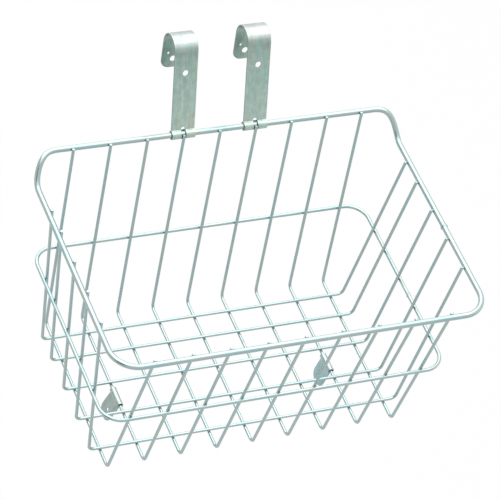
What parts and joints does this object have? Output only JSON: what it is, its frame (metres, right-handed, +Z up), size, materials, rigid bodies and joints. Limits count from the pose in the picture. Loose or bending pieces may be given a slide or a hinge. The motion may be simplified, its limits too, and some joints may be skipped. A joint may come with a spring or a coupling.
{
  "type": "bicycle basket",
  "caption": "Welded wire handlebar basket with a raised back rim, hinged hook straps for the bar and swivelling clips for the stays.",
  "frame": {"origin": "centre line of the handlebar, midway between the two hook straps", "axes": "+X to the basket's right as seen from its front, along the handlebar; +Y back, towards the rider; +Z up"},
  "size_m": [0.3764, 0.3063, 0.3203],
  "materials": {
    "zinc_wire": "bright zinc plating on drawn round wire",
    "zinc_sheet": "bright zinc plating on rolled strip, faintly brushed"
  },
  "bodies": {
    "wire_basket": {"rim_wire": "zinc_wire", "middle_hoop": "zinc_wire", "long_wire_1": "zinc_wire", "long_wire_2": "zinc_wire", "long_wire_3": "zinc_wire", "long_wire_4": "zinc_wire", "long_wire_5": "zinc_wire", "long_wire_6": "zinc_wire", "long_wire_7": "zinc_wire", "long_wire_8": "zinc_wire", "long_wire_9": "zinc_wire", "cross_wire_1": "zinc_wire", "cross_wire_2": "zinc_wire", "cross_wire_3": "zinc_wire", "cross_wire_4": "zinc_wire", "cross_wire_5": "zinc_wire"},
    "left_hook": {"left_hook_strap": "zinc_sheet"},
    "right_hook": {"right_hook_strap": "zinc_sheet"},
    "left_clip": {"left_stay_clip": "zinc_sheet"},
    "right_clip": {"right_stay_clip": "zinc_sheet"}
  },
  "joints": [
    {"name": "left_hook_swing", "type": "hinge", "parent": "wire_basket", "child": "left_hook", "pos_m": [-0.037, -0.04468, -0.07033], "axis": [1, 0, 0], "range_deg": [0, 97]},
    {"name": "right_hook_swing", "type": "hinge", "parent": "wire_basket", "child": "right_hook", "pos_m": [0.037, -0.04468, -0.07033], "axis": [1, 0, 0], "range_deg": [0, 97]},
    {"name": "left_clip_turn", "type": "hinge", "parent": "wire_basket", "child": "left_clip", "pos_m": [-0.111, -0.18024, -0.27923], "axis": [0, 1, 0], "continuous": true},
    {"name": "right_clip_turn", "type": "hinge", "parent": "wire_basket", "child": "right_clip", "pos_m": [0.111, -0.18024, -0.27923], "axis": [0, 1, 0], "continuous": true}
  ]
}
